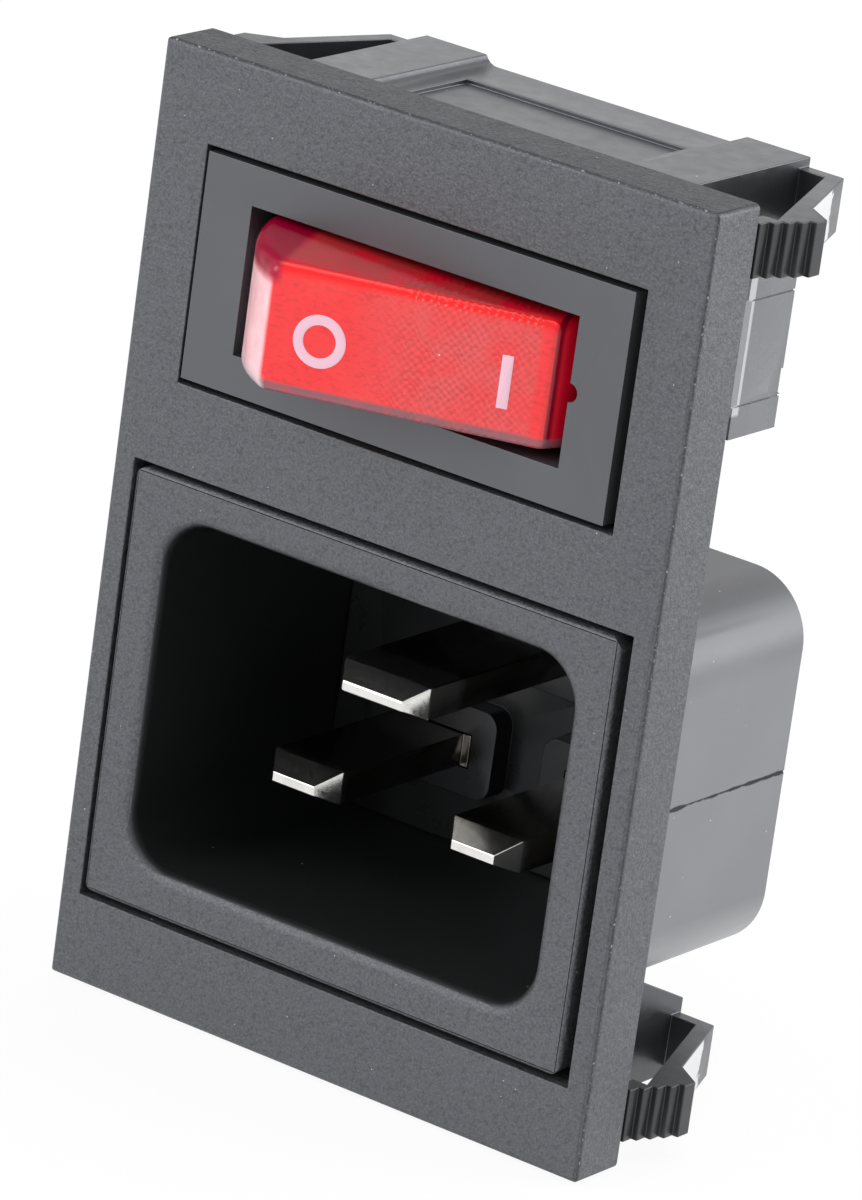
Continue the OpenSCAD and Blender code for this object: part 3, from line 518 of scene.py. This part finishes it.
def lacquer():
    """Tan lacquer, uneven where it was dipped."""
    f = Finish("resistor_lacquer", (0.66, 0.49, 0.28), 0.32)
    f.tint(f.span(f.noise(0.6, 3), 0.4, 0.8, 0, 0.5), (0.5, 0.36, 0.2))
    f.relief(f.noise(0.5, 2), 0.01)
    return f.material


def band_ink(name, colour):
    """One of the resistor's painted bands, a little thin in places."""
    f = Finish(name, colour, 0.35)
    f.tint(f.span(f.noise(0.3, 3), 0.5, 0.8, 0, 0.3), tuple(c * 0.7 for c in colour))
    f.relief(f.noise(0.2, 2), 0.002)
    return f.material


# Middle of the inlet's well, a little above the middle of its shell
well_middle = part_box("inlet_body")
well_middle = np.array(sum(well_middle, Vector()) / 2) / MM + [0, 0, 0.2]

GRAINED = grained_plastic()
BEZEL = housing_plastic()
SHROUD = shroud_plastic()
REAR = rear_plastic()
# Painted shade: the inlet's floor, deep in the well, is painted darker than the other black
# plastic.
SHADED_DARK = smooth_black("dark_plastic", (0.013, 0.0135, 0.014), 0.3, gloss=0.2).material
WHITE = white_nylon()
LENS = lens_plastic()
INK = print_ink()
# The pins' plating is painted dark inside the well, as painted shade.
NICKEL = plated_metal("pin_nickel", (0.82, 0.81, 0.78), 0.14, (5, 0.12, 5), shaded_depths=(2.2, 14))
BRASS = plated_metal("tab_brass", (0.75, 0.56, 0.27), 0.24, (4, 0.15, 4), (0.4, 0.24, 0.1))
COPPER = plated_metal("copper_strip", (0.8, 0.47, 0.3), 0.28, (0.15, 4, 4), (0.4, 0.2, 0.1))
SILVER = plated_metal("contact_silver", (0.8, 0.8, 0.78), 0.34)
WIRE = plated_metal("spring_wire", (0.62, 0.62, 0.64), 0.22)
GLASS = clear_glass()
LACQUER = lacquer()


# Meshes


def placed(name, verts, quads, slot, material, flat_over):
    """Makes one piece on the rocker of quads and of vertices in the rocker's own frame."""
    mesh = bpy.data.meshes.new(name)
    mesh.from_pydata((on_rocker(verts) * MM).tolist(), [], np.asarray(quads).tolist())
    return cleaned(finished(name, mesh, "rocker", material, flat_over))


def finished(name, mesh, body, material, flat_over):
    """Gives a mesh its material, shades it smooth but for sharp edges, and puts it on a body."""
    mesh.materials.clear()
    mesh.materials.append(material)
    mesh.polygons.foreach_set("use_smooth", np.ones(len(mesh.polygons), bool))
    mesh.set_sharp_from_angle(angle=math.radians(flat_over))
    mesh.update()
    piece = bpy.data.objects.new(name, mesh)
    bpy.context.scene.collection.objects.link(piece)
    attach(piece, body)
    return piece


def rounded_copy(node, name, width, material):
    """A copy of a solid's skin with every sharp edge rounded over by width."""
    source = frame["nodes"][node]
    skin = bmesh.new()
    skin.from_mesh(source.data)
    bmesh.ops.remove_doubles(skin, verts=skin.verts, dist=2e-6)
    bmesh.ops.dissolve_limit(skin, angle_limit=math.radians(0.6), verts=skin.verts,
                             edges=skin.edges)
    mesh = bpy.data.meshes.new(name)
    skin.to_mesh(mesh)
    skin.free()
    piece = finished(name, mesh, source["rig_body"], material, EDGE_ANGLE + 4)
    bevel = piece.modifiers.new("rounded edges", "BEVEL")
    bevel.width = width * MM
    bevel.segments = 2
    bevel.limit_method = "ANGLE"
    bevel.angle_limit = math.radians(EDGE_ANGLE)
    bevel.harden_normals = True
    bevel.use_clamp_overlap = True
    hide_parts(node)


def grid_quads(rows, columns, wrap_rows=False, wrap_columns=False, start=0):
    """Quads of a grid of points, numbered row by row."""
    i, j = np.meshgrid(np.arange(rows - (not wrap_rows)), np.arange(columns - (not wrap_columns)),
                       indexing="ij")
    a, b = i.ravel(), j.ravel()
    a2, b2 = (a + 1) % rows, (b + 1) % columns
    return np.stack([a * columns + b, a2 * columns + b, a2 * columns + b2, a * columns + b2],
                    1) + start


def revolved(profile, sides):
    """A profile of (radius, height) turned about Z: (r cos t, r sin t, h). Radius 0 closes it."""
    profile = np.asarray(profile, float)
    turn = np.linspace(0, 2 * math.pi, sides, endpoint=False)[:, None]
    points = np.stack([profile[None, :, 0] * np.cos(turn), profile[None, :, 0] * np.sin(turn),
                       np.broadcast_to(profile[None, :, 1], (sides, len(profile)))], 2)
    return points.reshape(-1, 3), grid_quads(sides, len(profile), wrap_rows=True)


def tube(path, radius, sides):
    """Circles of a radius carried along a path, closed by a point at each end.

    Each circle lies square to the path's direction, and its zero angle lies square to one
    fixed direction too, so the tube doesn't twist."""
    path = np.asarray(path, float)
    along = np.gradient(path, axis=0)
    along /= np.linalg.norm(along, axis=1, keepdims=True)
    side = np.cross(along, [0.123, 0.345, 0.93])
    side /= np.linalg.norm(side, axis=1, keepdims=True)
    other = np.cross(along, side)
    turn = np.linspace(0, 2 * math.pi, sides, endpoint=False)[None, :, None]
    body = path[:, None] + (side[:, None] * np.cos(turn) + other[:, None] * np.sin(turn)) * radius
    first = np.repeat(path[:1], sides, 0)[None]
    last = np.repeat(path[-1:], sides, 0)[None]
    points = np.concatenate([first, body, last])
    return points.reshape(-1, 3), grid_quads(len(points), sides, wrap_columns=True)


def merged(parts):
    """Several (vertices, quads) pairs as one."""
    verts, quads, start = [], [], 0
    for points, faces in parts:
        verts.append(points)
        quads.append(np.asarray(faces) + start)
        start += len(points)
    return np.concatenate(verts), np.concatenate(quads)


def cleaned(piece):
    """Merges doubled points and points every face outwards."""
    skin = bmesh.new()
    skin.from_mesh(piece.data)
    bmesh.ops.remove_doubles(skin, verts=skin.verts, dist=1e-7)
    bmesh.ops.dissolve_degenerate(skin, edges=skin.edges, dist=1e-8)
    bmesh.ops.recalc_face_normals(skin, faces=skin.faces)
    skin.to_mesh(piece.data)
    skin.free()
    return piece


def on_rocker(points):
    """From the rocker's own frame to the row frame, both in millimetres."""
    u, v, w = np.asarray(points, float).reshape(-1, 3).T
    return np.stack([u * math.cos(TILT) - v * math.sin(TILT), u * math.sin(TILT)
                     + v * math.cos(TILT), w], 1) + pivot


def on_light(points):
    """Turns a shape about Z into the same shape about the line of the lamp and resistor."""
    x, y, z = np.asarray(points).T
    return np.stack([z, x + LIGHT_V, y], 1)


# Rocker


def cap_outline(wall, corner, face_steps):
    """The cap's plan as points and outward normals: end arc, corner, face, corner, end arc."""
    end_r, face = CAP_END_R - wall, CAP_FACE - wall
    mid_v = -face + corner
    mid_u = math.sqrt((end_r - corner) ** 2 - mid_v ** 2)
    turn_0, turn_1 = -math.asin(CAP_RIM / end_r), math.atan2(-mid_v, mid_u)
    arc = np.linspace(turn_0, turn_1, 22)
    bend = np.linspace(turn_1, math.pi / 2, 9)[1:]
    left = np.concatenate([
        np.stack([-end_r * np.cos(arc), -end_r * np.sin(arc)], 1),
        np.stack([-mid_u - corner * np.cos(bend), mid_v - corner * np.sin(bend)], 1)])
    turn = np.concatenate([arc, bend])
    left_n = np.stack([-np.cos(turn), -np.sin(turn)], 1)
    line = np.linspace(-mid_u, mid_u, face_steps + 2)[1:-1]
    face_p = np.stack([line, np.full_like(line, -face)], 1)
    face_n = np.tile([0.0, -1.0], (len(line), 1))
    right = left[::-1] * [-1, 1]
    right_n = left_n[::-1] * [-1, 1]
    return np.concatenate([left, face_p, right]), np.concatenate([left_n, face_n, right_n])


def cap_skin(wall, corner, edge, face_steps, across_steps, prisms=0.0):
    """A skin of the cap: rows go along the outline, columns from one rim to the other.

    Each row runs up the side wall, round the long edge on a quarter circle, across the
    roll surface, and down the other side. The side's half height shrinks with the draft
    towards the face. prisms is the height of the egg-crate pattern sin(u) * sin(w)."""
    points, normals = cap_outline(wall, corner, face_steps)
    rows = len(points)

    def half(v):
        return CAP_HALF - wall - CAP_DRAFT * np.clip(-v / (CAP_FACE - CAP_EDGE), 0, 1)

    inner = points - normals * edge
    reach = inner[-1, 0]
    progress = np.linspace(-1, 1, rows)
    foot = np.stack([reach * progress, np.full(rows, CAP_RIM)], 1)
    share = np.linspace(0, 1, 10)[None, :, None]
    side = foot[:, None] * (1 - share) + inner[:, None] * share
    side_w = half(side[..., 1])
    angle = np.linspace(math.pi / 2, 0, 8)[1:]
    curl = points[:, None] - normals[:, None] * (edge * (1 - np.cos(angle)))[None, :, None]
    curl_w = half(curl[..., 1]) - edge + edge * np.sin(angle)[None]
    top_w = half(points[:, 1]) - edge
    cross = np.linspace(1, -1, across_steps + 2)[1:-1]
    roll_w = top_w[:, None] * cross[None]
    roll = np.repeat(points[:, None], len(cross), 1)
    if prisms:
        pitch = 0.5
        u = roll[..., 0]
        fade = np.clip((u + 3.2) / 1.5, 0.22, 1) * np.clip((reach - 2.6 - np.abs(u)) / 0.4, 0, 1)
        face = (np.abs(normals[:, 1]) > 0.999)[:, None]
        bump = prisms * fade * face * np.sin(2 * math.pi * u / pitch) * np.sin(
            2 * math.pi * roll_w / pitch)
        roll = roll + np.stack([np.zeros_like(bump), bump], 2)
    uv = np.concatenate([side, curl, roll, curl[:, ::-1], side[:, ::-1]], 1)
    w = np.concatenate([side_w, curl_w, roll_w, -curl_w[:, ::-1], -side_w[:, ::-1]], 1)
    return np.concatenate([uv, w[..., None]], 2)


def rocker_cap():
    """Outer and inner skin joined round the rim, with two pivot pins on two ears."""
    steps = 190, 78
    outer = cap_skin(0, CAP_EDGE, CAP_EDGE, *steps)
    inner = cap_skin(CAP_WALL, 0.3, 0.3, *steps, prisms=0.11)
    rows, columns = outer.shape[:2]
    count = rows * columns
    skins = [grid_quads(rows, columns), grid_quads(rows, columns, start=count)[:, ::-1]]
    i, j = np.arange(rows - 1), np.arange(columns - 1)
    bands = [np.stack([i * columns, i * columns + count, (i + 1) * columns + count,
                       (i + 1) * columns], 1),
             np.stack([j, j + 1, j + 1 + count, j + count], 1)]
    last_row, last_column = (rows - 1) * columns, columns - 1
    bands.append(np.stack([i * columns + last_column, (i + 1) * columns + last_column,
                           (i + 1) * columns + last_column + count,
                           i * columns + last_column + count], 1))
    bands.append(np.stack([j + last_row, j + last_row + count, j + 1 + last_row + count,
                           j + 1 + last_row], 1))
    shell = (np.concatenate([outer.reshape(-1, 3), inner.reshape(-1, 3)]),
             np.concatenate([*skins, *bands]))
    parts = [shell]
    for s in (-1, 1):
        for radius, length, flat, foot in ((1.05, 1.4, 1, CAP_HALF - 0.5),
                                           (1.9, 1.0, 0.68, CAP_HALF - CAP_WALL)):
            stub, quads = revolved([(0, 0), (radius, 0), (radius, length - 0.1),
                                    (radius - 0.1, length), (0, length)], 32)
            parts.append((stub * [1, flat, s] + [0, 0, s * foot], quads))
    piece = placed("rocker_cap", *merged(parts), "red_lens", LENS, 50)
    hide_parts("rocker_lens")


def off_mark():
    """A printed ring: a flat band turned about the face's normal, thin at both rims."""
    sides = 72
    r, v = np.array([(0.95, 0.01), (0.96, -0.018), (0.99, -0.026), (1.51, -0.026),
                     (1.54, -0.018), (1.55, 0.01)]).T
    turn = np.linspace(0, 2 * math.pi, sides, endpoint=False)[:, None]
    ring = np.stack([r * np.cos(turn), np.broadcast_to(v, (sides, len(v))), r * np.sin(turn)], 2)
    ring = ring.reshape(-1, 3) + [MARK_MIDDLE[0] - MARK_AT, -CAP_FACE, MARK_MIDDLE[1]]
    quads = grid_quads(sides, len(v), wrap_rows=True, wrap_columns=True)
    placed("mark_off", ring, quads, "white_plastic", INK, 60)


def on_mark():
    """A printed bar: rounded rectangles stacked from the face outwards."""
    half_w, half_h, corner, sides = 0.33, 1.54, 0.05, 32
    turn = np.linspace(0, 2 * math.pi, sides, endpoint=False)
    unit = np.stack([np.cos(turn), np.sin(turn)], 1)
    core = np.sign(unit) * [half_w - corner, half_h - corner]
    layers = []
    for inset, out in ((0, -0.01), (0, 0.016), (0.02, 0.026)):
        rim = core + unit * (corner - inset)
        layers.append(np.stack([rim[:, 0], np.full(sides, -out), rim[:, 1]], 1))
    for out, end in ((-0.01, 0), (0.026, len(layers) + 1)):
        layers.insert(end, np.tile([0.0, -out, 0.0], (sides, 1)))
    bar = np.concatenate(layers) + [MARK_MIDDLE[0] + MARK_AT, -CAP_FACE, MARK_MIDDLE[1]]
    quads = grid_quads(len(layers), sides, wrap_columns=True)
    placed("mark_on", bar, quads, "white_plastic", INK, 60)


def plunger_spring(side, name):
    """A wire coil with closed end turns: the pitch eases to nothing at both ends."""
    start, length, wire, mean_r, turns = 0.9, 2.35, 0.13, 0.71, 5.0
    t = np.linspace(0, turns, int(turns * 30))
    ease = np.clip(t / 0.9, 0, 1) * np.clip((turns - t) / 0.9, 0, 1)
    rise = np.cumsum(0.32 + ease)
    rise = (rise - rise[0]) / (rise[-1] - rise[0])
    path = np.stack([mean_r * np.cos(2 * math.pi * t), start + wire + rise * (length - 2 * wire),
                     mean_r * np.sin(2 * math.pi * t) + side * PLUNGER_W], 1)
    piece = placed(name + "_coil", *tube(path, wire, 10), "spring_steel", WIRE, 60)
    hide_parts(name)
    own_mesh(piece)


def lamp():
    """A small glow lamp: a turned glass envelope drawn to a tip, and two rods in it."""
    r, half = 1.58, LAMP_LEN / 2
    dome = np.linspace(0, math.pi / 2, 14)
    tip = [(0, -half), (0.12, -half + 0.03), (0.3, -half + 0.25)]
    shoulder = [(0.3 + (r - 0.3) * math.sin(a) ** 0.8, -half + 0.3 + 1.25 * (1 - math.cos(a)))
                for a in dome]
    foot = [(r, half - 0.8), (r * 0.98, half - 0.3), (r * 0.86, half - 0.06), (0, half)]
    verts, quads = revolved(tip + shoulder + foot, 48)
    piece = placed("lamp_envelope", on_light(verts), quads, "lamp_glass", GLASS, 50)
    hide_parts("neon_lamp")
    rods = [tube([[half - 1.2, LIGHT_V, w], [half - 2.5, LIGHT_V, w], [-1.4, LIGHT_V, w]], 0.22, 14)
            for w in (-0.45, 0.45)]
    placed("lamp_rods", *merged(rods), "spring_steel", WIRE, 50)


def bent_path(points, radius, steps=8):
    """A run of straight pieces with each corner replaced by a quadratic curve."""
    points = np.asarray(points, float)
    out = [points[0]]
    for a, b, c in zip(points[:-2], points[1:-1], points[2:]):
        before = b + (a - b) / np.linalg.norm(a - b) * radius
        after = b + (c - b) / np.linalg.norm(c - b) * radius
        t = np.linspace(0, 1, steps)[:, None]
        out.extend((1 - t) ** 2 * before + 2 * t * (1 - t) * b + t ** 2 * after)
    out.append(points[-1])
    return np.array(out)


def lead_wires():
    """Tinned wires out of the lamp, through the resistor and down to the carrier."""
    v, foot, bend, hidden = LIGHT_V, -0.93, 0.3, 0.05
    lamp_end, resistor_end = LAMP_LEN / 2, RESISTOR_FROM + RESISTOR_LEN
    left, right = -lamp_end - 0.5, resistor_end + 0.55
    runs = [bent_path([[hidden - lamp_end, v, 0], [left, v, 0], [left, foot, 0]], bend),
            np.linspace([lamp_end - hidden, v, 0], [RESISTOR_FROM + hidden, v, 0], 3),
            bent_path([[resistor_end - hidden, v, 0], [right, v, 0], [right, foot, 0]], bend)]
    piece = placed("lead_wires", *merged([tube(run, 0.2, 12) for run in runs]), "spring_steel",
                   WIRE, 60)
    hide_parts("lamp_leads")


def resistor():
    """A barrel with two swollen ends, and four thin bands round it."""
    r = 0.88
    x = np.linspace(0, 1, 40)
    off = np.abs(2 * x - 1)
    swell = r * (0.84 + 0.16 * np.clip(off * 1.9 - 0.75, 0, 1) ** 0.7)
    swell *= np.sqrt(np.clip(1 - np.clip(off - 0.86, 0, 1) ** 2 / 0.0197, 0, 1))
    swell[0] = swell[-1] = 0
    verts, quads = revolved(np.stack([swell, RESISTOR_FROM + x * RESISTOR_LEN], 1), 40)
    piece = placed("resistor_barrel", on_light(verts), quads, "resistor_lacquer", LACQUER, 50)
    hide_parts("ballast_resistor")
    for k, (at, colour) in enumerate(((0.3, (0.3, 0.14, 0.06)), (0.42, (0.02, 0.02, 0.02)),
                                      (0.54, (0.7, 0.5, 0.05)), (0.7, (0.6, 0.4, 0.12)))):
        band_r, half = np.interp(at, x, swell), 0.13
        ring = [(band_r - 0.03, -half), (band_r + 0.015, 0.02 - half), (band_r + 0.02, 0),
                (band_r + 0.015, half - 0.02), (band_r - 0.03, half)]
        verts, quads = revolved(np.array(ring) + [0, RESISTOR_FROM + at * RESISTOR_LEN], 40)
        quads = np.concatenate([quads, grid_ring(40, len(ring))])
        placed(f"resistor_band_{k + 1}", on_light(verts), quads, "resistor_lacquer",
               band_ink(f"band_ink_{k + 1}", colour), 50)


def grid_ring(sides, columns):
    """Quads that join a turned band's last column back to its first."""
    a = np.arange(sides)
    b = (a + 1) % sides
    return np.stack([(a + 1) * columns - 1, (b + 1) * columns - 1, b * columns, a * columns], 1)


rocker_cap()
off_mark()
on_mark()
plunger_spring(1, "upper_plunger_spring")
plunger_spring(-1, "lower_plunger_spring")
lamp()
lead_wires()
resistor()


# Mouldings and metal

rounded_copy("mounting_frame", "front_frame", 0.09, GRAINED)
rounded_copy("switch_housing", "switch_bezel", 0.08, BEZEL)
rounded_copy("switch_base", "switch_rear", 0.06, REAR)
rounded_copy("rocker_carrier", "rocker_cradle", 0.06, WHITE)
rounded_copy("inlet_body", "inlet_shell", 0.08, SHROUD)
rounded_copy("inlet_base", "inlet_floor", 0.12, SHADED_DARK)
for node in ("line_pin", "neutral_pin", "earth_pin"):
    rounded_copy(node, node.replace("pin", "blade"), 0.12, NICKEL)
for place in ("upper", "lower"):
    for part, material, slot in (("common_terminal", BRASS, "tab_brass"),
                                 ("load_terminal", BRASS, "tab_brass"),
                                 ("contact_blade", COPPER, "copper_strip"),
                                 ("moving_contact", SILVER, "contact_silver"),
                                 ("fixed_contact", SILVER, "contact_silver"),
                                 ("plunger", WHITE, "white_plastic")):
        rounded_copy(f"{place}_{part}", f"{place}_{part}_skin", 0.05, material)


# Stage, light, camera


def worked_out(tree, operation, a, b):
    """A maths node on one output and another output or a number."""
    node = tree.nodes.new("ShaderNodeMath")
    node.operation = operation
    tree.links.new(a, node.inputs[0])
    if isinstance(b, float):
        node.inputs[1].default_value = b
    else:
        tree.links.new(b, node.inputs[1])
    return node.outputs[0]


def white_where_seen(tree, shaded, white, amount):
    """Mixes a shader with plain white where the camera, gloss or glass sees it."""
    rays = tree.nodes.new("ShaderNodeLightPath").outputs
    seen = worked_out(tree, "MAXIMUM", rays["Is Camera Ray"], rays["Is Transmission Ray"])
    seen = worked_out(tree, "MAXIMUM", seen, rays["Is Glossy Ray"])
    mix = tree.nodes.new("ShaderNodeMixShader")
    tree.links.new(worked_out(tree, "MULTIPLY", seen, amount), mix.inputs[0])
    tree.links.new(shaded.outputs[0], mix.inputs[1])
    tree.links.new(white.outputs[0], mix.inputs[2])
    return mix.outputs[0]


def floor():
    """A pale square floor just under the part."""
    half, z = 3.0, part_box("mounting_frame")[0].z - 0.0002
    mesh = bpy.data.meshes.new("floor")
    mesh.from_pydata([(-half, -half, z), (half, -half, z), (half, half, z), (-half, half, z)], [],
                     [(0, 1, 2, 3)])
    piece = bpy.data.objects.new("floor", mesh)
    bpy.context.scene.collection.objects.link(piece)
    material = bpy.data.materials.new("pale_floor")
    material.use_nodes = True
    tree = material.node_tree
    paint = tree.nodes["Principled BSDF"]
    paint.inputs["Base Color"].default_value = (0.9, 0.9, 0.9, 1)
    paint.inputs["Roughness"].default_value = 0.7
    glow = tree.nodes.new("ShaderNodeEmission")
    glow.inputs["Strength"].default_value = 1.0
    tree.links.new(white_where_seen(tree, paint, glow, 0.93),
                   tree.nodes["Material Output"].inputs["Surface"])
    mesh.materials.append(material)


def sky(strength):
    """An even white tent of light round the part."""
    world = bpy.data.worlds.new("tent")
    bpy.context.scene.world = world
    world.use_nodes = True
    tree = world.node_tree
    tent = tree.nodes["Background"]
    tent.inputs["Color"].default_value = (1, 1, 1, 1)
    tent.inputs["Strength"].default_value = strength
    white = tree.nodes.new("ShaderNodeBackground")
    white.inputs["Strength"].default_value = 1.0
    tree.links.new(white_where_seen(tree, tent, white, 1.0),
                   tree.nodes["World Output"].inputs["Surface"])


def softbox(name, at, size, watts):
    """A square lamp of size metres at a place, turned towards the origin."""
    data = bpy.data.lights.new(name, "AREA")
    data.energy = watts
    data.size = size
    lamp_object = bpy.data.objects.new(name, data)
    bpy.context.scene.collection.objects.link(lamp_object)
    lamp_object.location = at
    lamp_object.rotation_euler = (-Vector(at)).to_track_quat("-Z", "Y").to_euler()


def camera():
    """The view of the photograph: a long lens, turned, dropped and rolled about its own axis."""
    turn, drop, roll = (math.radians(angle) for angle in VIEW_ANGLES)
    data = bpy.data.cameras.new("camera")
    data.sensor_width = 36
    data.lens = VIEW_LENS
    data.clip_start, data.clip_end = 0.01, 20
    eye = bpy.data.objects.new("camera", data)
    bpy.context.scene.collection.objects.link(eye)
    eye.matrix_world = (Matrix.Translation(VIEW_FROM) @ Matrix.Rotation(turn, 4, "Z")
                        @ Matrix.Rotation(math.pi / 2 - drop, 4, "X")
                        @ Matrix.Rotation(roll, 4, "Z"))
    bpy.context.scene.camera = eye


floor()
sky(0.5)
softbox("top_softbox", (0.05, 0.1, 0.6), 0.6, 2.2)
softbox("rear_softbox", (0.5, 0.45, 0.2), 0.6, 3.6)
softbox("front_softbox", (-0.35, -0.55, 0.35), 0.5, 2.8)
softbox("back_softbox", (-0.5, 0.72, 0.34), 0.6, 0.3)
camera()
bpy.context.scene.view_settings.view_transform = "Standard"
